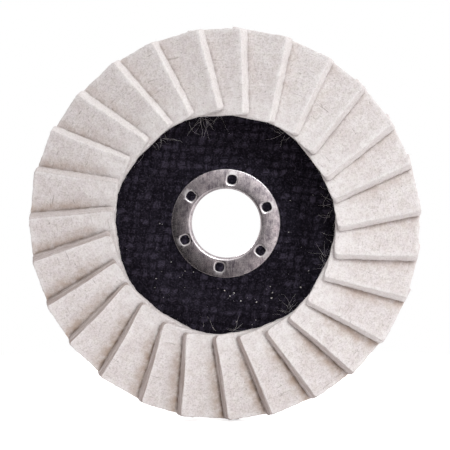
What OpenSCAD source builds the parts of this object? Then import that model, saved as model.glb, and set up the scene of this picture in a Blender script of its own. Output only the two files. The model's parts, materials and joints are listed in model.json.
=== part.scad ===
// Felt flap polishing wheel for an angle grinder: overlapping felt flaps bonded
// to a depressed-centre backing plate of glass cloth, with a steel arbor ring.
//
// Every sub-part is drawn lying down first: wheel axis along Z, the hub's back
// face at z = 0 and the flaps on the +Z side. upright() then turns the wheel's
// axis onto Y, with the flaps facing -Y, so that the wheel stands on its rim.

/* [Wheel] */
// Outside diameter over the corners of the flaps
wheel_d = 125; // [115:1:135]
// Arbor bore through the steel ring
bore_d = 22.23; // [20:0.01:24]

/* [Flaps] */
// Number of felt flaps round the wheel
flap_count = 27; // [25:1:29]
// Width of one flap, across its own centreline
flap_w = 18.2; // [16.5:0.1:19]
// Distance from the axis to the inner ends of the flaps
flap_inner = 34.5; // [33:0.5:37]
// Height of one layer of felt in the pressed stack, along the wheel's axis
layer_h = 4.8; // [4:0.1:5.5]
// Space left between one flap and the next
flap_gap = 0.12; // [0.1:0.01:0.3]
// Most that a cut edge strays from its true line
cut_slack = 0.45; // [0:0.05:0.6]
// Angle of the first flap's centreline
first_angle = 11.3; // [0:0.1:13.3]

/* [Backing plate] */
// Diameter of the backing plate
plate_d = 116; // [110:1:118]
// Radius of the flat hub, where the clamping nut sits
hub_r = 22; // [20:0.5:24]
// Radius where the plate's flat wing begins
wing_r = 29.5; // [27:0.5:31]
// How far the wing stands in front of the hub
hub_offset = 4.2; // [3:0.1:5]
// Thickness of the cloth ply on each face
skin_t = 0.6; // [0.4:0.1:0.8]
// Thickness of the plies pressed together in the middle
core_t = 1.4; // [1:0.1:2]

/* [Adhesive] */
// Thickness of the adhesive under the lowest edges of the flaps
glue_t = 0.6; // [0.4:0.1:1]
// Radius where the adhesive begins
glue_inner = 36.4; // [36.2:0.1:39]
// Radius where the adhesive ends
glue_outer = 56.4; // [50:0.2:57]

/* [Arbor ring] */
// Outside diameter of the ring's flange
ring_d = 35; // [33:0.5:38]
// Thickness of the ring's sheet steel
ring_t = 0.7; // [0.5:0.05:0.8]
// Diameter of the pierced holes in the flange
pierce_d = 2.9; // [2.4:0.1:3.1]
// Diameter of the circle that the pierced holes lie on
pierce_pcd = 28.4; // [28:0.1:29]
// Number of pierced holes
pierce_count = 6; // [4:1:8]
// Angle of the first pierced hole
pierce_angle = 22; // [0:1:60]

/* [Hidden] */
$fn = 96;
pitch = 360 / flap_count;
rise = layer_h / pitch;          // height gained per degree, going clockwise
rise_rad = rise * 180 / PI;
hub_t = 2 * skin_t + core_t;
wing_top = hub_offset + hub_t;
seat_h = wing_top + glue_t;      // where the lowest edges of the flaps stand
collar_r = bore_d / 2 + ring_t;  // outside of the collar that lines the bore
bend_r = 0.9;                    // outside of the bend from flange to collar
edge_r = 0.45;                   // rounding of the flange's outer edge
fit_gap = 0.03;                  // between the collar and the pressed plies
burr_t = 0.4;                    // wall of the burr that each pierced hole turns down
burr_h = 0.5;                    // how deep the burr bites into the cloth
cells_u = 6;                     // facets along a flap
cells_s = 6;                     // facets across a flap
arc_steps = 6;
wedge_steps = 4;

FLAP_NAMES = [for (i = [1:flap_count]) flap_name(i)];

function flap_name(i) = str("flap_", i < 10 ? "0" : "", i);

// Points of an arc in the plane, both ends included.
function arc(centre, r, from, to) =
    [for (i = [0:arc_steps]) let (a = from + (to - from) * i / arc_steps)
        centre + r * [cos(a), sin(a)]];

module upright() {
    rotate([90, 0, 0]) children();
}

// ---- The spiral that the flaps lie on --------------------------------------
// A flap's plan point is p = [u, s]: u runs outward along its centreline and s
// runs across it, anticlockwise. The flap is lowest along its edge s = flap_w / 2
// and climbs clockwise, over the flap before it, at the same rate per degree
// everywhere, so each flap's underside is the top of the one it lies on.

function low_angle(r) = asin(flap_w / 2 / r);

function seat_z(p) = seat_h + rise * (low_angle(norm(p)) - atan2(p[1], p[0]));

// How far a cut square to the felt leans over between its two faces.
function lean(r) = layer_h * rise_rad * r / (r * r + rise_rad * rise_rad);

function under_point(u, s) = [u, s, seat_z([u, s])];

function over_point(u, s) =
    let (p = [u, s + lean(norm([u, s]))])
    [p[0], p[1], seat_z(p) + layer_h - flap_gap];

// Where a flap ends, so that its furthest corner is on the outside diameter.
flap_outer = sqrt(pow(wheel_d / 2, 2) - pow(flap_w / 2 + lean(wheel_d / 2), 2));

// The cut edges of flap i stray a little, each in its own rhythm.
function stray(i, beat) = cut_slack * sin(beat * i);

function between(from, to, i, n) = from + (to - from) * i / n;

function quad(a, b, c, d) = [[a, b, c], [a, c, d]];

function flatten(lists) = [for (l = lists) for (x = l) x];

module flap(i) {
    u_0 = flap_inner + stray(i, 97);
    u_1 = flap_outer - abs(stray(i, 151));
    s_0 = -flap_w / 2 + stray(i, 211);
    s_1 = flap_w / 2;
    row = cells_s + 1;
    over = row * (cells_u + 1);
    grid = [for (j = [0:cells_u]) for (k = [0:cells_s])
        [between(u_0, u_1, j, cells_u), between(s_0, s_1, k, cells_s)]];
    points = concat(
        [for (p = grid) under_point(p[0], p[1])],
        [for (p = grid) over_point(p[0], p[1])]
    );
    faces = flatten([for (j = [0:cells_u - 1]) for (k = [0:cells_s - 1])
        let (a = j * row + k, b = a + row)
        concat(
            quad(a, b, b + 1, a + 1),
            quad(over + a, over + a + 1, over + b + 1, over + b)
        )]);
    rim = concat(
        [for (j = [0:cells_u]) j * row],
        [for (k = [1:cells_s]) cells_u * row + k],
        [for (j = [cells_u - 1:-1:0]) j * row + cells_s],
        [for (k = [cells_s - 1:-1:1]) k]
    );
    walls = flatten([for (n = [0:len(rim) - 1])
        let (a = rim[n], b = rim[(n + 1) % len(rim)])
        quad(a, over + a, over + b, b)]);
    color("linen") upright() rotate([0, 0, first_angle + (i - 1) * pitch])
        polyhedron(points, concat(faces, walls));
}

// ---- Backing plate ---------------------------------------------------------

// Height of the plate's back face at radius r: flat hub, smooth cone, flat wing.
function plate_z(r) =
    let (t = min(max((r - hub_r) / (wing_r - hub_r), 0), 1))
    hub_offset * t * t * (3 - 2 * t);

// One ply of the plate, from height low to height high above its back face.
module ply(bore_r, low, high) {
    radii = concat(
        [bore_r],
        [for (i = [0:2 * arc_steps]) between(hub_r, wing_r, i, 2 * arc_steps)],
        [plate_d / 2]
    );
    rotate_extrude() polygon(concat(
        [for (r = radii) [r, plate_z(r) + low]],
        [for (i = [len(radii) - 1:-1:0]) [radii[i], plate_z(radii[i]) + high]]
    ));
}

module pierced(d, low, high) {
    for (i = [0:pierce_count - 1])
        rotate([0, 0, pierce_angle + i * 360 / pierce_count])
            translate([pierce_pcd / 2, 0, low]) cylinder(d = d, h = high - low);
}

module back_ply() {
    color("dimgray") upright() ply(collar_r + fit_gap, 0, skin_t);
}

module core_ply() {
    color("black") upright() ply(collar_r + fit_gap, skin_t, skin_t + core_t);
}

// The front ply is cut back round the ring's bend, and holed by the ring's burrs.
module front_ply() {
    burr_d = pierce_d + 2 * burr_t + 4 * fit_gap;
    color("dimgray") upright() difference() {
        ply(bore_d / 2 + bend_r + fit_gap, skin_t + core_t, hub_t);
        pierced(burr_d, skin_t, hub_t + 1);
    }
}

// ---- Arbor ring ------------------------------------------------------------

// A flange on the hub's front face, bent round into a collar that lines the bore.
module arbor_ring() {
    top = hub_t + ring_t;
    inside_bend = bend_r - ring_t;
    bore_r = bore_d / 2;
    ring_r = ring_d / 2;
    color("silver") upright() difference() {
        union() {
            rotate_extrude() polygon(concat(
                [[bore_r, 0]],
                arc([bore_r + bend_r, top - bend_r], bend_r, 180, 90),
                arc([ring_r - edge_r, top - edge_r], edge_r, 90, 0),
                [[ring_r, hub_t]],
                arc([collar_r + inside_bend, hub_t - inside_bend], inside_bend, 90, 180),
                [[collar_r, 0]]
            ));
            pierced(pierce_d + 2 * burr_t, hub_t - burr_h, hub_t + ring_t / 2);
        }
        pierced(pierce_d, -1, top + 1);
    }
}

// ---- Adhesive --------------------------------------------------------------

// The three corners, at radius r, of the space under a flap: against the cut edge
// of the flap before it, under the flap's own lowest edge, and the peak between.
function wedge_ring(r) =
    let (
        low = low_angle(r),
        back = low - pitch + (lean(r) + flap_gap) * 180 / PI / r,
        foot = low - pitch + 2 * flap_gap * 180 / PI / r,
        toe = low - flap_gap / rise,
        peak = seat_h + rise * (low - back) - 2 * flap_gap
    )
    [
        [r * cos(foot), r * sin(foot), seat_h - glue_t / 2],
        [r * cos(toe), r * sin(toe), seat_h - glue_t / 2],
        [r * cos(back), r * sin(back), peak]
    ];

// Adhesive squeezed into the space under one flap.
module wedge() {
    points = flatten([for (i = [0:wedge_steps])
        wedge_ring(between(glue_inner + 1, glue_outer - 1, i, wedge_steps))]);
    last = 3 * wedge_steps;
    sides = flatten([for (i = [0:wedge_steps - 1]) for (k = [0:2])
        let (a = 3 * i + k, b = 3 * i + (k + 1) % 3)
        quad(a, a + 3, b + 3, b)]);
    polyhedron(points, concat([[0, 1, 2], [last, last + 2, last + 1]], sides));
}

module adhesive_bed() {
    color("wheat") upright() union() {
        difference() {
            translate([0, 0, wing_top]) cylinder(r = glue_outer, h = glue_t - flap_gap);
            translate([0, 0, wing_top - 1]) cylinder(r = glue_inner, h = glue_t + 2);
        }
        for (i = [1:flap_count]) rotate([0, 0, first_angle + (i - 1) * pitch]) wedge();
    }
}

back_ply();
core_ply();
front_ply();
arbor_ring();
adhesive_bed();
for (i = [1:flap_count]) flap(i);
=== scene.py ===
import json
import math

import bmesh
import bpy
import numpy as np
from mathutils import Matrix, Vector


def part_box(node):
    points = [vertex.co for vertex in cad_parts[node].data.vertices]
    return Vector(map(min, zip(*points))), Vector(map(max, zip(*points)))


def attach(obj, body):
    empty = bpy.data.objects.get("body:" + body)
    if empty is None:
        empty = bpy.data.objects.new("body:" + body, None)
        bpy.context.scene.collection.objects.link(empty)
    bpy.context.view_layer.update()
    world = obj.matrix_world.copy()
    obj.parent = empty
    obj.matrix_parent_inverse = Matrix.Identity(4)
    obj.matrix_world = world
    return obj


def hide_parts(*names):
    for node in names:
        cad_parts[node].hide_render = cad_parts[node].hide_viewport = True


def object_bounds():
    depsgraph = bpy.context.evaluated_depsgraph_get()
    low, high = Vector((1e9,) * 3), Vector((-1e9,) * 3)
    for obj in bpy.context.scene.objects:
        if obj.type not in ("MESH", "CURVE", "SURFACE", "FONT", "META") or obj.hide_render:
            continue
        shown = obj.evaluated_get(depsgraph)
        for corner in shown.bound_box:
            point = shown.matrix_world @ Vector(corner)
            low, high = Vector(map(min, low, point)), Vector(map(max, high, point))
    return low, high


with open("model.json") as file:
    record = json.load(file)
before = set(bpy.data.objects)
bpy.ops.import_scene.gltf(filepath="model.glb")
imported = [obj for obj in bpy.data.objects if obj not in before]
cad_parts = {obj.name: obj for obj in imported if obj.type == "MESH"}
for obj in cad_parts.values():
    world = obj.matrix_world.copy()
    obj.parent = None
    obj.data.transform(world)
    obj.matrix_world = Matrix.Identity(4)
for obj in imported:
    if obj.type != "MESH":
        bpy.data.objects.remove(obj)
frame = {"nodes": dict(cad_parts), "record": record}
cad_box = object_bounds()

# The wheel's axis is Y: the felt faces -Y, and the hub's back face is at y = 0.
# Pieces are worked out lying down, axis along Z with the felt on +Z, in metres.
# stand() turns such points onto the frame.

MM = 0.001
ROOT = "root"

# ---- Dimensions ------------------------------------------------------------
# Read from the frame.
mounts = {m["name"]: m for m in frame["record"]["mounts"]}
bore_r = mounts["arbor_bore"]["dims"]["r_mm"] * MM
flap_nodes = sorted(n for n in frame["nodes"] if n.startswith("flap_"))
skin_t = -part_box("core_ply")[1].y
core_top = -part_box("front_ply")[1].y
hub_t = core_top + skin_t
ring_top = -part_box("arbor_ring")[0].y
ring_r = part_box("arbor_ring")[1].x
plate_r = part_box("back_ply")[1].x
wing_top = -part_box("front_ply")[0].y
hub_offset = wing_top - hub_t
seat_h = -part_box(flap_nodes[0])[1].y
felt_top = max(-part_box(n)[0].y for n in flap_nodes)
ring_t = ring_top - hub_t
collar_r = bore_r + ring_t

# The same as the CAD's, where the frame's boxes can't tell them.
flap_w = 18.2 * MM
layer_h = 4.8 * MM
flap_gap = 0.12 * MM
cut_slack = 0.45 * MM
flap_inner = 34.5 * MM
wheel_r = 62.5 * MM
first_angle = math.radians(11.3)
hub_r = 22 * MM
wing_r = 29.5 * MM
glue_inner = 36.4 * MM
glue_outer = 56.4 * MM
pierce_pcd_r = 14.2 * MM
pierce_r = 1.45 * MM
pierce_angle = math.radians(22)
pierce_count = 6
fit_gap = 0.03 * MM         # between the steel ring and the plies round it

flap_count = len(flap_nodes)
pitch = 2 * math.pi / flap_count
rise = layer_h / pitch      # height gained per radian, going clockwise
felt_t = layer_h - flap_gap     # the felt's thickness, along the wheel's axis


# ---- Small tools -----------------------------------------------------------

def stand(points):
    """Points worked out lying down, in the frame."""
    x, y, z = np.asarray(points).T
    return np.stack([x, -z, y], axis=-1)


def smooth(low, high, x):
    """From 0 at low to 1 at high, level at both ends."""
    t = np.clip((x - low) / (high - low), 0, 1)
    return t * t * (3 - 2 * t)


def lattice(cell, seed):
    """A steady random number from -1 to 1 for each whole-numbered cell: a 32-bit hash
    by large odd numbers, of which the last 16 bits count."""
    mask = 0xFFFFFFFF
    mixed = (seed * 2654435761) & mask
    for axis, odd in enumerate((73856093, 19349663, 83492791)):
        mixed = mixed ^ ((cell[..., axis] * odd) & mask)
    for shift, odd in ((15, 2246822519), (13, 3266489917)):
        mixed = ((mixed ^ (mixed >> shift)) * odd) & mask
    return ((mixed ^ (mixed >> 16)) & 0xFFFF) / (0xFFFF / 2) - 1


def lumps(points, size, seed=0):
    """Smooth random lumps from -1 to 1, size across, at each point."""
    p = np.asarray(points) / size
    cell = np.floor(p).astype(np.int64)
    t = p - cell
    t = t * t * (3 - 2 * t)
    total = 0
    for corner in np.ndindex(2, 2, 2):
        share = np.prod(np.where(corner, t, 1 - t), axis=-1)
        total = total + share * lattice(cell + np.array(corner), seed)
    return total


def unit(vectors):
    return vectors / np.linalg.norm(vectors, axis=-1)[..., None]


def add_mesh(name, points, faces, material):
    """A closed mesh that rides on the wheel and takes its finish from a slot."""
    mesh = bpy.data.meshes.new(name)
    mesh.from_pydata(np.asarray(points).tolist(), [], [list(f) for f in faces])
    mesh.update()
    mesh.shade_smooth()
    piece = bpy.data.objects.new(name, mesh)
    bpy.context.scene.collection.objects.link(piece)
    mesh.materials.append(material)
    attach(piece, ROOT)
    return piece


def points_of(mesh, what="co"):
    found = np.zeros(len(mesh.vertices) * 3, np.float32)
    mesh.vertices.foreach_get(what, found)
    return found.reshape(-1, 3).astype(float)


def move_points(mesh, points):
    mesh.vertices.foreach_set("co", np.asarray(points, np.float32).ravel())
    mesh.update()


def push_out(mesh, distance):
    """Moves each point along its normal."""
    move_points(mesh, points_of(mesh) + points_of(mesh, "normal") * distance[:, None])


def set_value(mesh, name, values):
    """A number at each point, which the materials read by name."""
    attribute = mesh.attributes.new(name, "FLOAT", "POINT")
    attribute.data.foreach_set("value", np.asarray(values, np.float32))


def set_vector(mesh, name, values):
    """The same, with a vector at each point."""
    attribute = mesh.attributes.new(name, "FLOAT_VECTOR", "POINT")
    attribute.data.foreach_set("vector", np.asarray(values, np.float32).ravel())


def sharpen(mesh, degrees):
    """Creases the edges that turn more than this, so that flat faces stay flat."""
    bm = bmesh.new()
    bm.from_mesh(mesh)
    for edge in bm.edges:
        if len(edge.link_faces) == 2:
            edge.smooth = edge.calc_face_angle() < math.radians(degrees)
    bm.to_mesh(mesh)
    bm.free()


# ---- Material building -----------------------------------------------------

class Finish:
    """A procedural material: a few short calls for the nodes used here."""

    def __init__(self, name):
        self.material = bpy.data.materials.new(name)
        self.material.use_nodes = True
        self.tree = self.material.node_tree
        self.shader = self.tree.nodes["Principled BSDF"]
        self.where = self.tree.nodes.new("ShaderNodeTexCoord").outputs["Object"]

    def node(self, kind, **settings):
        node = self.tree.nodes.new(kind)
        for name, value in settings.items():
            setattr(node, name, value)
        return node

    def join(self, value, socket):
        """Links a socket, or sets a constant."""
        if isinstance(value, bpy.types.NodeSocket):
            self.tree.links.new(value, socket)
        else:
            socket.default_value = value

    def attribute(self, name, output="Fac"):
        return self.node("ShaderNodeAttribute", attribute_name=name).outputs[output]

    def stretch(self, vector, scale, turn=0.0):
        """A place turned about Z and scaled: noise there runs long where scale is small."""
        mapping = self.node("ShaderNodeMapping")
        self.join(vector, mapping.inputs["Vector"])
        mapping.inputs["Rotation"].default_value = (0, 0, turn)
        mapping.inputs["Scale"].default_value = scale
        return mapping.outputs["Vector"]

    def noise(self, size, detail=2.0, rough=0.5, vector=None, warp=0.0):
        """Noise from 0 to 1 with lumps of this size, in metres."""
        node = self.node("ShaderNodeTexNoise")
        self.join(vector or self.where, node.inputs["Vector"])
        node.inputs["Scale"].default_value = 1 / size
        node.inputs["Detail"].default_value = detail
        node.inputs["Roughness"].default_value = rough
        node.inputs["Distortion"].default_value = warp
        return node.outputs["Fac"]

    def span(self, value, low, high, to_low=0.0, to_high=1.0):
        """value from low..high to to_low..to_high, held at both ends."""
        node = self.node("ShaderNodeMapRange")
        numbers = (value, low, high, to_low, to_high)
        for socket, number in zip(node.inputs, numbers):
            self.join(number, socket)
        return node.outputs["Result"]

    def math(self, operation, a, b=0.0):
        node = self.node("ShaderNodeMath", operation=operation)
        self.join(a, node.inputs[0])
        self.join(b, node.inputs[1])
        return node.outputs[0]

    def mix(self, share, a, b, blend="MIX"):
        """Colour a where share is 0, b where it is 1."""
        node = self.node("ShaderNodeMix", data_type="RGBA", blend_type=blend)
        self.join(share, node.inputs["Factor"])
        self.join(a, node.inputs[6])
        self.join(b, node.inputs[7])
        return node.outputs[2]

    def bump(self, height, strength, distance, under=None):
        node = self.node("ShaderNodeBump")
        node.inputs["Strength"].default_value = strength
        node.inputs["Distance"].default_value = distance
        self.join(height, node.inputs["Height"])
        if under is not None:
            self.join(under, node.inputs["Normal"])
        return node.outputs["Normal"]

    def finish(self, **sockets):
        """Sets or links the shader's sockets by name, with _ for a space."""
        for name, value in sockets.items():
            self.join(value, self.shader.inputs[name.replace("_", " ")])
        return self.material


def felt_strands(f, flat):
    """Fine fibres lying in three directions, from 0 between them to 1 on them."""
    strands = None
    for turn in (0.35, 1.4, 2.5):
        along = f.stretch(flat, (1, 0.16, 1), turn)
        strand = f.noise(0.34 * MM, 2, 0.6, along, 0.6)
        strands = strand if strands is None else f.math("MAXIMUM", strands, strand)
    return strands


def felt_wool(f, flat, mottle, grain, strands):
    """The wool's own colour, with pale strands, dark hairs and specks of grit."""
    pale = (0.83, 0.782, 0.782, 1)
    dark = (0.73, 0.662, 0.662, 1)
    grey = (0.42, 0.36, 0.355, 1)
    white = (0.95, 0.93, 0.925, 1)
    brown = (0.30, 0.25, 0.23, 1)
    black = (0.26, 0.22, 0.21, 1)
    greenish = (0.975, 0.985, 0.94, 1)
    colour = f.mix(f.span(mottle, 0.75, 1.25), pale, dark)
    colour = f.mix(f.span(grain, 0.42, 0.74, 0, 0.34), colour, grey)
    speckle = f.noise(0.50 * MM, 2, 0.7)
    colour = f.mix(f.span(speckle, 0.46, 0.72, 0, 0.52), colour, grey)
    colour = f.mix(f.span(strands, 0.58, 0.76, 0, 0.40), colour, white)
    hair = f.noise(0.60 * MM, 1, 0.5, f.stretch(flat, (1, 0.13, 1), 0.9), 1.7)
    colour = f.mix(f.span(hair, 0.70, 0.74, 0, 0.60), colour, brown)
    grit = f.noise(0.85 * MM, 1)
    colour = f.mix(f.span(grit, 0.73, 0.77, 0, 0.60), colour, black)
    hue = f.noise(2.0 * MM, 3, 0.6)
    return f.mix(f.span(hue, 0.42, 0.62, 0, 0.60), colour, greenish, "MULTIPLY")


def felt_use_and_shade(f, flat, colour, mottle, blotch):
    """What handling and use add, with painted light and shade: clean edges, cut faces painted
    pale on the side toward the light, and on the flaps away from the light brown cut faces,
    seams and dark grooves, which are painted shade with dirt and stains."""
    wiped = (0.90, 0.875, 0.87, 1)
    lit_cut_pale = (0.90, 0.895, 0.88, 1)
    tan = (0.50, 0.375, 0.295, 1)
    brown = (0.33, 0.25, 0.22, 1)
    umber = (0.17, 0.12, 0.095, 1)
    shade_tone = f.attribute("felt_shade_tone")
    clean = f.math("MAXIMUM", f.attribute("felt_edge"), f.attribute("felt_inner"))
    clean = f.math("MULTIPLY", clean, f.span(blotch, 0.3, 0.6, 0.55, 0.20))
    colour = f.mix(clean, colour, wiped)
    layers = f.noise(0.9 * MM, 3, 0.65, f.stretch(flat, (0.08, 0.3, 1)))
    # Painted light: the cut faces on the side toward the light are painted paler.
    lit_cut = f.math("MULTIPLY", f.attribute("felt_cut"), f.span(shade_tone, 0.40, 0.65, 0.36, 0.0))
    lit_cut = f.math("MULTIPLY", lit_cut, f.span(layers, 0.3, 0.6, 0.4, 1.0))
    colour = f.mix(lit_cut, colour, lit_cut_pale)
    # Painted shade with a brown stain on the face where it slides under the next flap, darker on the
    # flaps away from the light.
    seam_shade_and_stain = f.math("MULTIPLY", f.attribute("felt_seam"), f.span(blotch, 0.35, 0.65, 0.30, 1.0))
    seam_shade_and_stain = f.math("MULTIPLY", seam_shade_and_stain, f.span(shade_tone, 0, 0.7, 0.10, 0.95))
    colour = f.mix(seam_shade_and_stain, colour, tan)
    # Painted shade, with dirt: the free edge's cut face is painted brown on the flaps away from the
    # light.
    side_shade_and_dirt = f.math("MULTIPLY", f.attribute("felt_side"), f.span(layers, 0.38, 0.60, 0.40, 1.0))
    side_shade_and_dirt = f.math("MULTIPLY", side_shade_and_dirt, f.span(shade_tone, 0.48, 0.76, 0, 0.90))
    colour = f.mix(side_shade_and_dirt, colour, brown)
    # Painted contact shadow, with dirt, in the groove beside the next flap's edge and at the foot of
    # the free edge's cut face, darker on the flaps away from the light.
    groove = f.math("MAXIMUM", f.attribute("felt_groove"), f.attribute("felt_foot"))
    groove = f.math("MULTIPLY", groove, f.span(mottle, 0.80, 1.15, 0.30, 1.0))
    groove = f.math("MULTIPLY", groove, f.span(shade_tone, 0.40, 0.8, 0.20, 0.80))
    return f.mix(groove, colour, umber)


def felt_material():
    """Pressed wool: pale, matt, mottled, with fine tangled fibres."""
    f = Finish("pressed_felt")
    flat = f.attribute("felt_place", "Vector")
    blotch = f.noise(2.4 * MM, 3, 0.6)
    mottle = f.math("ADD", f.noise(6 * MM, 3, 0.55), blotch)
    grain = f.noise(1.0 * MM, 3, 0.7)
    strands = felt_strands(f, flat)
    colour = felt_wool(f, flat, mottle, grain, strands)
    colour = felt_use_and_shade(f, flat, colour, mottle, blotch)
    fine = f.bump(strands, 0.60, 0.12 * MM)
    return f.finish(Base_Color=colour, Roughness=f.span(blotch, 0.3, 0.7, 0.86, 0.98),
                    Normal=f.bump(grain, 0.55, 0.25 * MM, fine), Sheen_Weight=0.25,
                    Sheen_Roughness=0.6, Specular_IOR_Level=0.12)


def fibre_material():
    """Loose wool fibres, paler than the felt they come from."""
    f = Finish("wool_fibre")
    grey = (0.62, 0.58, 0.56, 1)
    pale = (0.90, 0.88, 0.86, 1)
    shade = f.span(f.noise(1.2 * MM, 2), 0.3, 0.7)
    colour = f.mix(shade, grey, pale)
    rough = f.span(shade, 0, 1, 0.7, 0.9)
    return f.finish(Base_Color=colour, Roughness=rough, Specular_IOR_Level=0.2)


def cloth_material():
    """Black resin over woven glass yarns, which show through on their crowns; the crowns are partly a
    painted highlight and the dips painted shade.
    """
    f = Finish("resin_glass_cloth")
    resin = (0.0022, 0.0018, 0.0032, 1)
    yarn = (0.042, 0.0355, 0.053, 1)
    thin_resin = (0.016, 0.0135, 0.021, 1)
    grey = (0.20, 0.19, 0.20, 1)
    over = f.attribute("yarn_over")
    crown = f.attribute("yarn_crown")
    shade = f.attribute("yarn_shade")
    down = f.stretch(f.where, (1, 1, 0.10))
    across = f.stretch(f.where, (0.10, 1, 1))
    threads = f.mix(over, f.noise(0.30 * MM, 3, 0.6, down), f.noise(0.30 * MM, 3, 0.6, across))
    patch = f.noise(7 * MM, 3, 0.6)
    grain = f.noise(0.5 * MM, 3, 0.6)
    # Painted highlight and shade, with the yarn showing through thin resin: lighter on the crowns,
    # darker in the dips.
    lit = f.math("MULTIPLY", f.span(crown, 0.45, 1.0), f.span(shade, 0.1, 1.0, 0.12, 1.0))
    lit = f.math("MULTIPLY", lit, f.span(threads, 0.38, 0.62, 0.10, 1.6))
    fleck = f.span(f.noise(0.60 * MM, 2, 0.7), 0.50, 0.70, 0, 0.80)
    lit = f.math("ADD", f.math("MULTIPLY", lit, f.span(grain, 0.38, 0.60, 0.20, 1.4)), fleck)
    # Painted light: the level yarns are painted a little lighter than the upright ones.
    lit = f.math("MULTIPLY", lit, f.span(over, 0, 1, 0.85, 1.2))
    colour = f.mix(lit, resin, yarn)
    colour = f.mix(f.span(patch, 0.45, 0.75, 0, 0.16), colour, thin_resin)
    dust = f.span(f.noise(0.45 * MM, 1, 0.5), 0.73, 0.80, 0, 0.45)
    colour = f.mix(dust, colour, grey)
    rough = f.span(grain, 0.3, 0.7, 0.50, 0.75)
    fine = f.bump(threads, 0.35, 0.05 * MM)
    return f.finish(Base_Color=colour, Roughness=rough, Normal=f.bump(grain, 0.2, 0.05 * MM, fine),
                    Specular_IOR_Level=0.12, Specular_Tint=(0.80, 0.70, 1.0, 1))


def core_material():
    """The pressed middle plies, seen as a rough layered edge."""
    f = Finish("pressed_core")
    black = (0.008, 0.008, 0.009, 1)
    grey = (0.045, 0.042, 0.044, 1)
    layers = f.noise(0.35 * MM, 3, 0.6, f.stretch(f.where, (0.15, 1, 0.15)))
    colour = f.mix(f.span(layers, 0.4, 0.65), black, grey)
    rough = f.span(f.noise(0.6 * MM), 0.3, 0.7, 0.55, 0.85)
    return f.finish(Base_Color=colour, Roughness=rough, Normal=f.bump(layers, 0.6, 0.12 * MM))


def steel_material():
    """Plain pressed steel, mottled by handling, with fine scuffs and dark specks."""
    f = Finish("ring_steel")
    dull = (0.36, 0.32, 0.365, 1)
    bright = (0.98, 0.91, 0.925, 1)
    rose = (1.0, 0.90, 0.93, 1)
    handled = (0.22, 0.19, 0.22, 1)
    scuffed = (0.95, 0.88, 0.895, 1)
    black = (0.05, 0.045, 0.045, 1)
    highlight_steel = (0.90, 0.87, 0.88, 1)
    cloud = f.noise(2.4 * MM, 4, 0.62)
    mottle = f.noise(0.65 * MM, 4, 0.7)
    brushed = f.noise(0.34 * MM, 4, 0.75, f.stretch(f.where, (1, 1, 0.13)), 0.3)
    speck = f.span(f.noise(0.55 * MM, 2, 0.5), 0.71, 0.76, 0, 0.8)
    rim_highlight = f.attribute("steel_rim_highlight")
    colour = f.mix(f.span(cloud, 0.40, 0.60), dull, bright)
    rosy = f.span(f.noise(4 * MM, 2), 0.45, 0.65, 0, 0.6)
    colour = f.mix(rosy, colour, rose, "MULTIPLY")
    colour = f.mix(f.span(mottle, 0.42, 0.62, 0, 0.70), colour, handled)
    colour = f.mix(f.span(brushed, 0.44, 0.62, 0, 0.68), colour, scuffed)
    colour = f.mix(speck, colour, black)
    # Painted highlight: the rims of the holes, the bend and the outer edge are painted bright.
    colour = f.mix(rim_highlight, colour, highlight_steel)
    rough = f.span(rim_highlight, 0, 1, f.span(mottle, 0.3, 0.7, 0.20, 0.32), 0.48)
    fine = f.bump(brushed, 0.15, 0.03 * MM)
    return f.finish(Base_Color=colour, Metallic=1.0, Roughness=rough,
                    Normal=f.bump(cloud, 0.12, 0.10 * MM, fine))


def glue_material():
    """Cured resin adhesive, amber brown and a little glossy."""
    f = Finish("cured_adhesive")
    thick = (0.16, 0.10, 0.05, 1)
    thin = (0.38, 0.29, 0.18, 1)
    cloud = f.noise(2.5 * MM, 3, 0.6)
    colour = f.mix(f.span(cloud, 0.35, 0.7), thick, thin)
    rough = f.span(f.noise(0.8 * MM), 0.3, 0.7, 0.32, 0.6)
    return f.finish(Base_Color=colour, Roughness=rough, Normal=f.bump(cloud, 0.3, 0.2 * MM))


# ---- Felt flaps ------------------------------------------------------------
# A flap's plan point is (u, s): u runs outward along its centreline and s across
# it, anticlockwise seen from the felt side. It is lowest along s = flap_w / 2, where
# the next flap covers it, and its free edge is at the other end of s.

edge_round = 0.42 * MM      # how far the cut felt edges have softened
corner_round = 1.3 * MM     # the handled corner at each flap's free inner end
felt_step = 0.44 * MM
free_lift = 0.32 * MM       # the most that a free edge stands off the flap below
flap_spacing = 40 * MM      # keeps the flaps apart in their finish, so that no two match


def flap_angle(i):
    """Where flap i's centreline points."""
    return first_angle + (i - 1) * pitch


def seat(u, s):
    """Height of the spiral that the flaps' undersides lie on."""
    low_angle = np.arcsin(flap_w / 2 / np.hypot(u, s))
    return seat_h + rise * (low_angle - np.arctan2(s, u))


def lean(r):
    """How far a cut square to the felt leans over between its two faces."""
    return layer_h * rise * r / (r * r + rise * rise)


def stray(i, beat):
    """How far a cut edge of flap i strays from its true line."""
    return cut_slack * math.sin(math.radians(beat * i))


def covered_from(i, u):
    """The s at which the next flap's underside begins, on flap i."""
    edge = -flap_w / 2 + stray(i % flap_count + 1, 211)
    return (u * math.sin(pitch) + edge) / math.cos(pitch)


def stations(low, high, edge, step):
    """Places from low to high a step apart, closer inside the rounded edges."""
    curve = edge * (1 - np.cos(np.linspace(0, math.pi / 2, 4)))
    middle = np.linspace(low + edge, high - edge, round((high - low - 2 * edge) / step) + 1)
    return np.concatenate([low + curve[:-1], middle, high - curve[-2::-1]])


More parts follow.
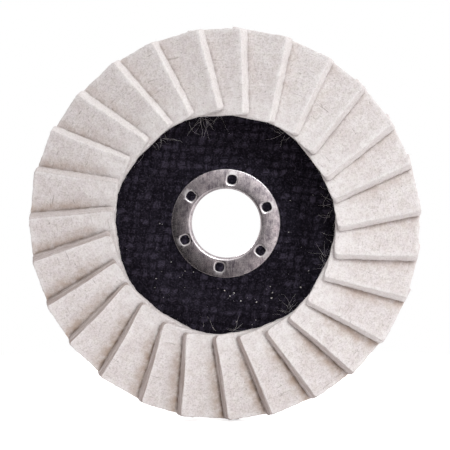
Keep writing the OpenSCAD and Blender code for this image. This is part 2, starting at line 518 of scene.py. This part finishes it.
def box_shell(us, ss, ts):
    """Points and outward quads of a box's surface, with grid lines at us, ss, ts."""
    counts = (len(us), len(ss), len(ts))
    grid = np.indices(counts)
    last = np.array(counts).reshape(3, 1, 1, 1) - 1
    on_skin = ((grid == 0) | (grid == last)).any(axis=0)
    index = np.full(counts, -1)
    index[on_skin] = np.arange(on_skin.sum())
    points = np.stack([us[grid[0]], ss[grid[1]], ts[grid[2]]], -1)[on_skin]
    sides = (
        (index[-1], 1), (index[0], -1), (index[:, 0], 1),
        (index[:, -1], -1), (index[:, :, -1], 1), (index[:, :, 0], -1),
    )
    quads = []
    for side, way in sides:
        ring = (side[:-1, :-1], side[1:, :-1], side[1:, 1:], side[:-1, 1:])
        quads.append(np.stack(ring[::way], -1).reshape(-1, 4))
    return points, np.concatenate(quads)


def round_off(points, low, high, radius):
    """Moves a box's surface points onto the same box with rounded edges."""
    inner = np.clip(points, low + radius, high - radius)
    out = points - inner
    reach = np.abs(out).max(axis=-1)
    length = np.maximum(np.linalg.norm(out, axis=-1), 1e-12)
    return inner + out * (reach / length)[:, None]


def round_corner(points, corner, ways, radius):
    """Rounds one plan corner, away from which the felt lies in directions ways."""
    centre = corner + ways * radius
    out = (centre - points[:, :2]) * ways
    near = (out > 0).all(axis=-1)
    reach = np.abs(out).max(axis=-1)
    length = np.maximum(np.linalg.norm(out, axis=-1), 1e-12)
    rounded = centre - out * ways * (reach / length)[:, None]
    points[near, :2] = rounded[near]
    return points


def on_spiral(u, s, share, slant):
    """A point in the felt: share is 0 on the underside and 1 on top, and slant is
    how much further than square the cut leans over there."""
    under = np.stack([u, s, seat(u, s)], -1)
    s_top = s + lean(np.hypot(u, s)) + slant
    over = np.stack([u, s_top, seat(u, s_top) + felt_t], -1)
    return under + (over - under) * share[:, None]


def pressed(i, u, s, low, high):
    """What is left of the felt's thickness near the handled inner end of its free
    edge, and how much further the cut leans over toward the outer end."""
    near = smooth(5.5 * MM, 0.5 * MM, s - low[1])
    inner = smooth(low[0] + 15 * MM, low[0] + 1 * MM, u)
    outer = smooth(low[0] + 10 * MM, high[0], u)
    depth = 0.12 + 0.50 * shade_and_wear(flap_angle(i))
    depth = depth * (0.8 + 0.2 * math.sin(5.3 * i))
    slant = near * outer * MM * (0.35 + 0.25 * math.sin(4.7 * i))
    return 1 - depth * near * inner, slant


def flap_limits(i):
    """Lowest and highest u and s of flap i."""
    outer = math.sqrt(wheel_r ** 2 - (flap_w / 2 + lean(wheel_r)) ** 2)
    low = np.array([flap_inner + stray(i, 97), -flap_w / 2 + stray(i, 211)])
    high = np.array([outer - abs(stray(i, 151)), flap_w / 2])
    return low, high


def lifted(i, u, s, low, high):
    """How far flap i's free edge stands off the flap below it."""
    most = free_lift * (0.12 + 0.88 * abs(math.sin(2.4 * i + 0.7)))
    tip = 0.5 + 0.5 * math.sin(1.9 * i)
    along = (u - low[0]) / (high[0] - low[0])
    across = np.clip((covered_from(i, u) - s) / (covered_from(i, u) - low[1]), 0, 1)
    return most * across ** 2 * (0.45 + 0.55 * np.abs(along - tip))


def shade_and_wear(angle):
    """How much painted shade, with some dust, the flap at this angle takes: most on the
    lower-left side, away from the light. It also sets how deep pressed() presses the handled end.
    """
    side = 0.5 + 0.5 * math.cos(angle - math.radians(250))
    return min(max(side ** 1.4 + 0.06 * math.sin(7 * angle), 0), 1)


def spin(points, angle):
    """Turns lying points about the wheel's axis."""
    c, s = math.cos(angle), math.sin(angle)
    x, y, z = points.T
    return np.stack([c * x - s * y, s * x + c * y, z], -1)


def softened(i, grid, low, high):
    """A flap's box, with its cut edges rounded and its handled corners more so."""
    shaped = round_off(grid, np.append(low, 0), np.append(high, felt_t), edge_round)
    handled = corner_round * (0.75 + 0.25 * math.sin(3.1 * i))
    for corner, ways, share in (
        (low, (1, 1), 1.0), ((high[0], low[1]), (-1, 1), 0.9), ((low[0], high[1]), (1, -1), 0.5),
    ):
        shaped = round_corner(shaped, np.array(corner), np.array(ways), handled * share)
    return shaped


def roughen(mesh, i, place, cut, bare):
    """Makes the cut faces uneven, and the face too where it is bare."""
    face = 0.10 * lumps(place, 3.4 * MM, i) + 0.05 * lumps(place, 1.3 * MM, 50 + i)
    rough = 0.11 * lumps(place, 1.1 * MM, 90 + i) + 0.07 * lumps(place, 0.5 * MM, 130 + i)
    push_out(mesh, MM * (bare * face + cut * rough + 0.02 * lumps(place, 0.6 * MM, 170 + i)))


# What the felt's finish reads at each point: felt_cut marks the cut faces, felt_side
# the free edge's cut face, and felt_foot that face's foot, painted with contact shade.
# felt_seam rises toward the next flap's edge, painted with shade and a brown stain, and
# felt_groove lies right beside it, painted with a contact shadow and dirt. felt_edge is
# the rim of the face and felt_inner its handled inner end. felt_shade_tone is how much
# painted shade, with dust, the whole flap takes from its angle, and felt_place is the
# point in the flap's own axes.

def mark_finish(mesh, i, place, flap_points, limits, cut, beyond):
    """Stores where the felt's finish changes. flap_points are u, s, share and the
    distance from the nearest cut edge, and beyond is how far a point lies past the
    next flap's edge, under that flap."""
    u, s, share, edge = flap_points
    low, high = limits
    on_top = smooth(0.75, 1, share) * smooth(2.0 * MM, 1.0 * MM, beyond)
    ragged = 0.18 * MM * lumps(place, 2.6 * MM, 210 + i)
    seam = smooth(-4.6 * MM, 0, beyond + 2 * ragged) * on_top
    groove = smooth(-0.80 * MM, -0.05 * MM, beyond + ragged) * on_top
    inside = smooth(high[0] - 0.3 * MM, high[0] - 1.2 * MM, u)
    inside = inside * smooth(low[0] + 0.8 * MM, low[0] + 4 * MM, u)
    side = cut * smooth(1.2 * MM, 0.5 * MM, s - low[1])
    set_value(mesh, "felt_cut", cut)
    set_value(mesh, "felt_seam", seam * smooth(low[0] + 2 * MM, low[0] + 13 * MM, u))
    set_value(mesh, "felt_groove", groove * inside)
    set_value(mesh, "felt_side", side)
    set_value(mesh, "felt_foot", side * smooth(0.40, 0.05, share) * inside)
    set_value(mesh, "felt_edge", smooth(1.8 * MM, 0.2 * MM, edge) * on_top * (1 - cut))
    set_value(mesh, "felt_inner", smooth(14 * MM, 1 * MM, u - low[0]) * (1 - cut))
    set_value(mesh, "felt_shade_tone", np.full(len(u), shade_and_wear(flap_angle(i))))
    set_vector(mesh, "felt_place", np.stack([u, s, share * felt_t + i * flap_spacing], -1))


def make_flap(i, node, material):
    """One flap of pressed felt: soft cut edges, an uneven face, a free edge that lifts."""
    low, high = flap_limits(i)
    grid, quads = box_shell(
        stations(low[0], high[0], edge_round, felt_step),
        stations(low[1], high[1], edge_round, felt_step),
        stations(0, felt_t, edge_round, felt_step),
    )
    shaped = softened(i, grid, low, high)
    u, s, share = shaped[:, 0], shaped[:, 1], shaped[:, 2] / felt_t
    left, slant = pressed(i, u, s, low, high)
    points = on_spiral(u, s, share * left, slant)
    points[:, 2] += lifted(i, u, s, low, high)
    points = stand(spin(points, flap_angle(i)))
    piece = add_mesh(f"felt_{node}", points, quads, material)

    edge = np.minimum(grid[:, :2] - low, high - grid[:, :2]).min(axis=1)
    cut = 1 - smooth(0, 0.25 * MM, edge)
    beyond = s + share * (lean(np.hypot(u, s)) + slant) - covered_from(i, u)
    bare = smooth(0.5 * MM, -0.5 * MM, beyond) * smooth(0.5, 1, share)
    place = points_of(piece.data)
    roughen(piece.data, i, place, cut, np.maximum(bare, cut))
    mark_finish(piece.data, i, place, (u, s, share, edge), (low, high), cut, beyond)
    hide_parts(node)
    return piece


def make_flaps():
    material = felt_material()
    return [make_flap(i + 1, node, material) for i, node in enumerate(flap_nodes)]


# ---- Loose fibres ----------------------------------------------------------

def fibre_mesh(lines, radii):
    """Thin three-sided fibres, each closed, that taper along lines of points."""
    count, steps = lines.shape[:2]
    way = unit(np.gradient(lines, axis=1))
    aslant = (0.31, 0.62, 0.72)
    side = unit(np.cross(way, aslant))
    other = np.cross(way, side)
    width = radii[:, None, None] * (1 - 0.6 * np.linspace(0, 1, steps)[None, :, None])
    rings = []
    for corner in range(3):
        a = 2 * math.pi * corner / 3
        rings.append(lines + (math.cos(a) * side + math.sin(a) * other) * width)
    points = np.stack(rings, 2).reshape(-1, 3)
    start = np.arange(count)[:, None] * steps * 3
    faces = []
    for step in range(steps - 1):
        for corner in range(3):
            a, b = 3 * step + corner, 3 * step + (corner + 1) % 3
            faces.append(start + np.array([[a, b, b + 3, a + 3]]))
    walls = np.concatenate(faces).tolist()
    last = 3 * (steps - 1)
    roots = (start + np.array([[2, 1, 0]])).tolist()
    tips = (start + last + np.array([[0, 1, 2]])).tolist()
    return points, walls + roots + tips


def curly(rng, roots, ways, lengths, bend, steps):
    """Lines of points that set out from their roots and wander as they go."""
    wander = np.cumsum(rng.normal(0, 1, (len(roots), steps, 3)) * bend, axis=1)
    strides = unit(ways[:, None] + wander) * (lengths / steps)[:, None, None]
    return roots[:, None] + np.cumsum(strides, axis=1)


def make_fuzz(flaps, material):
    """Short fibres standing off the felt's cut edges."""
    rng = np.random.default_rng(27)
    per_flap = 150
    planted = 0.05 * MM     # how deep in the felt each fibre starts
    roots, ways = [], []
    for piece in flaps:
        mesh = piece.data
        cut = np.zeros(len(mesh.vertices), np.float32)
        mesh.attributes["felt_cut"].data.foreach_get("value", cut)
        chosen = rng.choice(np.flatnonzero(cut > 0.3), per_flap, replace=False)
        roots.append(points_of(mesh)[chosen])
        ways.append(points_of(mesh, "normal")[chosen])
    roots, ways = np.concatenate(roots), np.concatenate(ways)
    count = len(roots)
    ways = unit(ways + 0.6 * rng.normal(size=(count, 3)))
    lengths = rng.uniform(0.3, 1.1, count) * MM
    radii = rng.uniform(0.012, 0.022, count) * MM
    lines = curly(rng, roots - ways * planted, ways, lengths, 0.45, 6)
    points, faces = fibre_mesh(lines, radii)
    add_mesh("felt_fuzz", points, faces, material)


def make_lint(material):
    """Loose fibres that have come off the flaps' inner ends onto the plate."""
    rng = np.random.default_rng(8)
    tufts = np.radians((5, 12, 58, 95, 103, 128, 134, 340, 262, 271, 305, 352))
    count = 80
    angles = rng.choice(tufts, count) + rng.normal(0, 0.05, count)
    r = flap_inner + rng.uniform(-1.0, 0.6, count) * MM
    heights = wing_top + rng.uniform(0.1, 1.2, count) * MM
    roots = np.stack([r * np.cos(angles), r * np.sin(angles), heights], -1)
    inward = angles + math.pi + rng.normal(0, 0.9, count)
    ways = np.stack([np.cos(inward), np.sin(inward), rng.normal(-0.08, 0.08, count)], -1)
    lengths = rng.uniform(1.5, 7.0, count) * MM
    bend = np.array([0.10, 0.10, 0.02])
    lines = curly(rng, roots, unit(ways), lengths, bend, 24)
    lines[..., 2] = np.maximum(lines[..., 2], plate_front(lines) + 0.05 * MM)
    points, faces = fibre_mesh(lines, rng.uniform(0.020, 0.036, count) * MM)
    add_mesh("felt_lint", stand(points), faces, material)


def make_dust(material):
    """Crumbs of felt lying on the cloth, most of them on one side."""
    rng = np.random.default_rng(5)
    count = 60
    angles = np.radians(rng.normal(290, 55, count))
    r = rng.uniform(ring_r + 1.5 * MM, flap_inner - 1 * MM, count)
    roots = np.stack([r * np.cos(angles), r * np.sin(angles), np.zeros(count)], -1)
    roots[:, 2] = plate_front(roots) + 0.02 * MM
    turn = rng.uniform(0, 2 * math.pi, count)
    ways = np.stack([np.cos(turn), np.sin(turn), np.zeros(count)], -1)
    size = rng.uniform(0.35, 1.15, count) ** 2 * MM
    bend = np.array([0.3, 0.3, 0.05])
    lines = curly(rng, roots, ways, 0.55 * size, bend, 4)
    points, faces = fibre_mesh(lines, 0.22 * size)
    add_mesh("felt_dust", stand(points), faces, material)


# ---- Backing plate ---------------------------------------------------------

yarn_pitch = 2.70 * MM
yarn_relief = 0.22 * MM     # how far the cloth dips between its yarns' crowns
yarn_fill = 0.93            # share of its lane that a yarn fills
yarn_rise = 0.62            # a yarn's back above its sides, to a ride of 0.5
upright_lean = math.radians(-10.9)   # the cloth was pulled a little askew
level_lean = math.radians(-4.2)
lathe_columns = 900


def plate_back(r):
    """Height of the plate's back face at radius r: flat hub, cone, flat wing."""
    return hub_offset * smooth(hub_r, wing_r, r)


def plate_front(points):
    """Height of the plate's front face under each point."""
    return plate_back(np.hypot(points[..., 0], points[..., 1])) + hub_t


def bend_radii(inner):
    """Radii that a plain ply's outline needs, from its bore to its rim."""
    return [inner, hub_r, *np.linspace(hub_r, wing_r, 13)[1:], plate_r]


def yarns(across, along, seed):
    """One set of parallel yarns: height of their surface, and a steady random number
    for each crown."""
    lane = np.floor(across)
    off = 2 * (across - lane) - 1
    crossing = along + lane + 0.5
    pairs = np.floor(crossing / 2)
    cell = np.stack([lane, pairs, np.zeros_like(lane)], -1).astype(np.int64)
    chance = lattice(cell, seed)
    ride = np.cos(math.pi * (crossing - 2 * pairs - 1))
    body = np.sqrt(np.clip(1 - (off / yarn_fill) ** 2, 0, 1))
    return 0.5 * ride * body + (yarn_rise + 0.10 * chance) * body - yarn_rise, chance


def weave(x, y, seed):
    """Plain weave at plan points: how far the surface lies below the yarn crowns,
    whether a level yarn is on top, how near its crown, and its crown's own number."""
    flat = np.stack([x, y, np.zeros_like(x)], -1)
    across = x * math.cos(upright_lean) + y * math.sin(upright_lean)
    along = y * math.cos(level_lean) - x * math.sin(level_lean)
    across = across / yarn_pitch + 0.24 * lumps(flat, 4 * MM, seed)
    along = along / yarn_pitch + 0.24 * lumps(flat, 4 * MM, seed + 1)
    across = across + 0.09 * lumps(flat, 1.3 * MM, seed + 4)
    along = along + 0.09 * lumps(flat, 1.3 * MM, seed + 5)
    upright, upright_chance = yarns(across, along, seed + 2)
    level, level_chance = yarns(along, across + 1, seed + 3)
    over = level > upright
    depth = np.clip(0.5 - np.where(over, level, upright), 0, 1.15)
    crown = np.clip(1 - depth, 0, 1)
    shade = 0.5 + 0.5 * np.where(over, level_chance, upright_chance)
    return depth * yarn_relief, over.astype(float), crown, shade


def lathe_rings(profile):
    """Points of closed rings, one for each (radius, height), lying down."""
    angles = np.linspace(0, 2 * math.pi, lathe_columns, endpoint=False)
    r = np.array([p[0] for p in profile])[:, None]
    z = np.array([p[1] for p in profile])[:, None] + np.zeros(lathe_columns)
    return np.stack([r * np.cos(angles), r * np.sin(angles), z], -1)


def lathe_faces(rings):
    """Quads that join each ring to the next, and the last to the first."""
    index = np.arange(rings * lathe_columns).reshape(rings, lathe_columns)
    nxt = np.roll(index, -1, axis=0)
    quads = np.stack([index, nxt, np.roll(nxt, -1, axis=1), np.roll(index, -1, axis=1)], -1)
    return quads.reshape(-1, 4)


def roughen_rim(rings, depth, size, seed, layering=1):
    """Wears the plate's rim back by up to twice depth, in lumps that are thinner than
    they are wide where layering is over 1."""
    rim = np.hypot(rings[..., 0], rings[..., 1]) > plate_r - 0.05 * MM
    worn = 1 - depth * (1 + lumps(rings[rim] * [1, 1, layering], size, seed)) / plate_r
    rings[rim] *= np.stack([worn, worn, np.ones_like(worn)], -1)


def make_ply(name, node, inner, low, high, front, seed, material):
    """A ply of glass cloth, woven on its outer side as far as that shows, with a rough
    cut rim."""
    seen_to = flap_inner + 2.5 * MM if front else plate_r
    step = 0.21 * MM if front else 0.37 * MM
    woven = [*np.arange(inner, seen_to, step), *np.arange(seen_to, plate_r, 3 * MM)]
    outer_face = [(r, plate_back(r) + (high if front else low)) for r in [*woven, plate_r]]
    inner_face = [(r, plate_back(r) + (low if front else high)) for r in bend_radii(inner)[::-1]]
    profile = outer_face + inner_face
    rings = lathe_rings(profile)
    count = len(outer_face)
    x, y = rings[:count, :, 0], rings[:count, :, 1]
    depth, over, crown, shade = weave(x, y, seed)
    rings[:count, :, 2] += np.where(front, -depth, depth)
    roughen_rim(rings, 0.10 * MM, 0.8 * MM, seed)
    faces = lathe_faces(len(profile))
    if front:
        faces = faces[:, ::-1]
    piece = add_mesh(name, stand(rings.reshape(-1, 3)), faces, material)
    rest = (len(profile) - count) * lathe_columns
    for value, woven_part, plain_part in (
        ("yarn_over", over, 0), ("yarn_crown", crown, 0.4), ("yarn_shade", shade, 0.4),
    ):
        numbers = np.append(woven_part.ravel(), np.full(rest, plain_part))
        set_value(piece.data, value, numbers)
    sharpen(piece.data, 50)
    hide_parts(node)


def make_core(material):
    """The pressed middle of the plate, with a rough layered rim."""
    radii = bend_radii(collar_r + fit_gap)
    rim = [(plate_r, plate_back(plate_r) + skin_t + (core_top - skin_t) * t)
           for t in np.linspace(0, 1, 8)[1:-1]]
    profile = [(r, plate_back(r) + skin_t) for r in radii] + rim
    profile += [(r, plate_back(r) + core_top) for r in radii[::-1]]
    rings = lathe_rings(profile)
    roughen_rim(rings, 0.16 * MM, 0.7 * MM, 5, layering=4)
    piece = add_mesh("plate_core", stand(rings.reshape(-1, 3)), lathe_faces(len(profile)),
                     material)
    sharpen(piece.data, 50)
    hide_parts("core_ply")


# ---- Adhesive --------------------------------------------------------------

def make_glue(material):
    """Resin squeezed up under the flaps, rounded and uneven where it shows."""
    inner = glue_inner - 0.7 * MM
    outer = glue_outer + 1.0 * MM
    radii = np.linspace(inner, outer, 60)
    rings = lathe_rings([(r, wing_top) for r in radii])
    angle = np.arctan2(rings[..., 1], rings[..., 0])
    r = np.hypot(rings[..., 0], rings[..., 1])
    low = np.arcsin(flap_w / 2 / r)
    # Each wedge climbs from a flap's lowest edge to the cut edge of the flap behind.
    behind = (first_angle + low - angle) % pitch
    base = seat_h - wing_top - 2 * flap_gap
    room = rise * behind + base
    side = pitch - lean(r) / r * smooth(0, 1, room / layer_h)
    fill = smooth(side + 0.010, side - 0.004, behind) * 0.96
    height = base + (room - base) * fill
    ends = smooth(inner, inner + 1.1 * MM, r + 0.35 * MM * lumps(rings, 3 * MM, 3))
    ends = ends * smooth(outer, outer - 1.1 * MM, r + 0.45 * MM * lumps(rings, 2.5 * MM, 4))
    rings[..., 2] += height * np.sqrt(ends) + 0.03 * MM
    bottom = lathe_rings([(outer, wing_top), (inner, wing_top)])
    points = np.concatenate([rings, bottom]).reshape(-1, 3)
    faces = lathe_faces(len(radii) + 2)[:, ::-1]
    piece = add_mesh("glue_bed", stand(points), faces, material)
    sharpen(piece.data, 60)
    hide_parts("adhesive_bed")


# ---- Arbor ring ------------------------------------------------------------

bend_r = 0.9 * MM
ring_edge_r = 0.34 * MM
ring_dome = 0.28 * MM       # how far pressing has bent the flange's edge back
burr_t = 0.4 * MM
burr_h = 0.5 * MM
squareness = 2.7            # of the pierced holes: 2 would be round
ring_columns = 288


def arc(x, z, r, start, end, steps=8):
    """Points of an arc in a lathe's profile, in degrees."""
    angles = np.radians(np.linspace(start, end, steps + 1))
    return [(x + r * math.cos(a), z + r * math.sin(a)) for a in angles]


def bmesh_loft(loops):
    """A closed bmesh through loops of equal length, capped at both ends."""
    bm = bmesh.new()
    rings = [[bm.verts.new(p) for p in loop] for loop in loops]
    for a, b in zip(rings, rings[1:]):
        for k in range(len(a)):
            n = (k + 1) % len(a)
            bm.faces.new((a[k], a[n], b[n], b[k]))
    bm.faces.new(rings[0][::-1])
    bm.faces.new(rings[-1])
    return bm


def square_reach(x, y):
    """Distance from a pierced hole's centre, equal all along a rounded square."""
    return (abs(x) ** squareness + abs(y) ** squareness) ** (1 / squareness)


def punch_loop(angle, half, z):
    """A rounded square round one pierced hole, half wide from its centre."""
    centre = Vector((pierce_pcd_r * math.cos(angle), pierce_pcd_r * math.sin(angle), z))
    steps = 40
    loop = []
    for k in range(steps):
        a = 2 * math.pi * k / steps
        c, s = math.cos(a), math.sin(a)
        reach = half / square_reach(c, s)
        loop.append(centre + Vector((reach * math.cos(a + angle), reach * math.sin(a + angle), 0)))
    return loop


def scratch_object(name, bm):
    """A plain object from a bmesh, which it frees."""
    mesh = bpy.data.meshes.new(name)
    bm.to_mesh(mesh)
    bm.free()
    thing = bpy.data.objects.new(name, mesh)
    bpy.context.scene.collection.objects.link(thing)
    return thing


def punches(sizes):
    """Every pierced hole's punch, or burr, as one object: sizes are (half width, height)."""
    whole = bmesh.new()
    for k in range(pierce_count):
        angle = pierce_angle + 2 * math.pi * k / pierce_count
        one = bmesh_loft([punch_loop(angle, half, z) for half, z in sizes])
        part = bpy.data.meshes.new("punch")
        one.to_mesh(part)
        one.free()
        whole.from_mesh(part)
        bpy.data.meshes.remove(part)
    return scratch_object("punches", whole)


def cut_or_join(thing, tool, operation):
    """Applies a boolean and removes the tool."""
    modifier = thing.modifiers.new("boolean", "BOOLEAN")
    modifier.object = tool
    modifier.operation = operation
    modifier.solver = "EXACT"
    bpy.context.view_layer.update()
    made = bpy.data.meshes.new_from_object(
        thing.evaluated_get(bpy.context.evaluated_depsgraph_get()))
    thing.modifiers.clear()
    thing.data = made
    bpy.data.objects.remove(tool)


def ring_body():
    """Flange and collar of pressed sheet steel, lying down, before its holes."""
    inside = bend_r - ring_t
    profile = [(bore_r, 0)]
    profile += arc(bore_r + bend_r, ring_top - bend_r, bend_r, 180, 90)
    crown_r = bore_r + bend_r
    flat = ring_r - ring_edge_r - crown_r
    profile += [(crown_r + flat * t, ring_top - ring_dome * t * t) for t in (0.25, 0.5, 0.75)]
    profile += arc(ring_r - ring_edge_r, ring_top - ring_dome - ring_edge_r, ring_edge_r, 84, 0)
    profile += [(ring_r, hub_t)]
    profile += arc(collar_r + inside, hub_t - inside, inside, 90, 180, 3)
    profile += [(collar_r, 0)]
    bm = bmesh.new()
    rings = []
    for r, z in profile:
        turn = [2 * math.pi * k / ring_columns for k in range(ring_columns)]
        rings.append([bm.verts.new((r * math.cos(a), r * math.sin(a), z)) for a in turn])
    for a, b in zip(rings, rings[1:] + rings[:1]):
        for k in range(ring_columns):
            n = (k + 1) % ring_columns
            bm.faces.new((a[n], a[k], b[k], b[n]))
    bmesh.ops.recalc_face_normals(bm, faces=bm.faces)
    return scratch_object("ring", bm)


def rim_highlight_share(points):
    """1 where the flange round the punched holes, the bend and the outer edge is painted as a bright
    highlight, falling to 0 beyond.
    """
    r = np.hypot(points[:, 0], points[:, 1])
    angle = np.arctan2(points[:, 1], points[:, 0])
    pierce_pitch = 2 * math.pi / pierce_count
    off = (angle - pierce_angle + pierce_pitch / 2) % pierce_pitch - pierce_pitch / 2
    x, y = r * np.cos(off) - pierce_pcd_r, r * np.sin(off)
    beyond = square_reach(x, y) - pierce_r
    front = smooth(ring_top - 0.55 * MM, ring_top - 0.40 * MM, points[:, 2])
    hole = smooth(0.50 * MM, 0.30 * MM, beyond) * front
    bend = smooth(bore_r + 0.95 * MM, bore_r + 0.70 * MM, r) * front
    edge = smooth(ring_r - 0.30 * MM, ring_r - 0.15 * MM, r)
    return np.maximum(hole, np.maximum(bend * 0.45, edge * 0.8))


def make_ring(material):
    """The steel ring, its pierced holes dished in at the rim by the punch."""
    ring = ring_body()
    burr = punches([(pierce_r + burr_t, hub_t - burr_h), (pierce_r + burr_t, hub_t + ring_t / 2)])
    cut_or_join(ring, burr, "UNION")
    # The punch, as half widths and heights: straight, then flaring to the dished rim.
    dish = [
        (pierce_r, -MM), (pierce_r, ring_top - 0.40 * MM),
        (pierce_r + 0.06 * MM, ring_top - 0.28 * MM), (pierce_r + 0.16 * MM, ring_top - 0.18 * MM),
        (pierce_r + 0.32 * MM, ring_top - 0.09 * MM), (pierce_r + 0.54 * MM, ring_top - 0.02 * MM),
        (pierce_r + 0.90 * MM, ring_top + 0.08 * MM),
    ]
    cut_or_join(ring, punches(dish), "DIFFERENCE")
    mesh = ring.data
    faces = [list(p.vertices) for p in mesh.polygons]
    piece = add_mesh("steel_ring", stand(points_of(mesh)), faces, material)
    bpy.data.objects.remove(ring)
    set_value(piece.data, "steel_rim_highlight", rim_highlight_share(points_of(mesh)))
    sharpen(piece.data, 28)
    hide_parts("arbor_ring")


# ---- Studio ----------------------------------------------------------------

def aim(thing, target):
    thing.rotation_euler = (Vector(target) - thing.location).to_track_quat("-Z", "Y").to_euler()


def add_camera():
    """Nearly square to the felt, from a little right of the axis and above it."""
    data = bpy.data.cameras.new("camera")
    camera = bpy.data.objects.new("camera", data)
    bpy.context.scene.collection.objects.link(camera)
    data.lens = 154.5
    data.sensor_width = 36
    data.clip_start = 0.01
    camera.location = (29 * MM, -felt_top - 600 * MM, 18 * MM)
    aim(camera, (-0.4 * MM, 0, -0.6 * MM))
    bpy.context.scene.camera = camera


def add_lamp(name, place, target, size, watts, colour=(1, 1, 1)):
    data = bpy.data.lights.new(name, "AREA")
    data.shape = "DISK"
    data.size = size
    data.energy = watts
    data.color = colour
    lamp = bpy.data.objects.new(name, data)
    bpy.context.scene.collection.objects.link(lamp)
    lamp.location = place
    lamp.visible_camera = False
    aim(lamp, target)


def toward(nodes, links, way, ramp):
    """A light's strength by direction. ramp is two cosines of the angle from way, and
    the strength below the first and above the second."""
    direction = nodes.new("ShaderNodeTexCoord").outputs["Generated"]
    dot = nodes.new("ShaderNodeVectorMath")
    dot.operation = "DOT_PRODUCT"
    links.new(direction, dot.inputs[0])
    dot.inputs[1].default_value = Vector(way).normalized()
    graded = nodes.new("ShaderNodeMapRange")
    graded.interpolation_type = "SMOOTHSTEP"
    links.new(dot.outputs["Value"], graded.inputs[0])
    for socket, number in zip(graded.inputs[1:5], ramp):
        socket.default_value = number
    return graded.outputs["Result"]


def add_world():
    """A soft surround, brighter toward the upper right and dark behind the camera's
    left, against a white backdrop."""
    world = bpy.data.worlds.new("studio")
    bpy.context.scene.world = world
    world.use_nodes = True
    nodes, links = world.node_tree.nodes, world.node_tree.links
    light = nodes["Background"]
    light.inputs["Color"].default_value = (1.0, 0.943, 0.95, 1)
    strength = nodes.new("ShaderNodeMath")
    strength.operation = "MULTIPLY"
    bright = toward(nodes, links, (0.88, -0.22, 0.42), (-0.05, 0.65, 0.54, 0.97))
    links.new(bright, strength.inputs[0])
    shadow = toward(nodes, links, (-0.48, -0.84, -0.25), (0.72, 0.95, 1.0, 0.0))
    links.new(shadow, strength.inputs[1])
    links.new(strength.outputs[0], light.inputs["Strength"])
    backdrop = nodes.new("ShaderNodeBackground")
    backdrop.inputs["Color"].default_value = (1, 1, 1, 1)
    path = nodes.new("ShaderNodeLightPath")
    mix = nodes.new("ShaderNodeMixShader")
    links.new(path.outputs["Is Camera Ray"], mix.inputs[0])
    links.new(light.outputs[0], mix.inputs[1])
    links.new(backdrop.outputs[0], mix.inputs[2])
    links.new(mix.outputs[0], nodes["World Output"].inputs["Surface"])


def add_floor():
    """A plain pale floor under the wheel's rim, which pales into the backdrop. The
    steel doesn't mirror it, because the photographed ring is dark at its lower left."""
    f = Finish("pale_floor")
    shade = f.span(f.noise(0.3, 2), 0, 1, 0.93, 0.95)
    colour = f.mix(shade, (0.9, 0.9, 0.9, 1), (0.96, 0.96, 0.96, 1))
    away = f.node("ShaderNodeVectorMath", operation="LENGTH")
    f.join(f.where, away.inputs[0])
    glow = f.span(away.outputs["Value"], 0.09, 0.21, 0.70, 1.0)
    seen = f.node("ShaderNodeLightPath").outputs["Is Camera Ray"]
    material = f.finish(Base_Color=colour, Roughness=0.9, Specular_IOR_Level=0.1,
                        Emission_Color=(1, 1, 1, 1), Emission_Strength=f.math("MULTIPLY", seen, glow))
    bm = bmesh.new()
    bmesh.ops.create_circle(bm, cap_ends=True, segments=96, radius=0.22)
    floor = scratch_object("floor", bm)
    floor.data.materials.append(material)
    floor.location = (0, 0, cad_box[0].z - 0.2 * MM)
    floor.visible_glossy = False


def light_studio():
    add_lamp("key", (0.105, -0.300, 0.200), (0, 0, 0), 0.12, 0.50, (0.92, 1, 0.985))
    add_lamp("rear", (-0.35, 0.55, 0.40), (0, 0, 0), 0.40, 2.2)
    add_world()
    bpy.context.scene.view_settings.view_transform = "Standard"


# ---- The wheel -------------------------------------------------------------

add_camera()
light_studio()
add_floor()
flaps = make_flaps()
fibres = fibre_material()
make_fuzz(flaps, fibres)
make_lint(fibres)
make_dust(fibres)
cloth = cloth_material()
make_ply("front_cloth", "front_ply", bore_r + bend_r + fit_gap, core_top, hub_t,
         front=True, seed=11, material=cloth)
make_ply("back_cloth", "back_ply", collar_r + fit_gap, 0, skin_t,
         front=False, seed=23, material=cloth)
make_core(core_material())
make_glue(glue_material())
make_ring(steel_material())
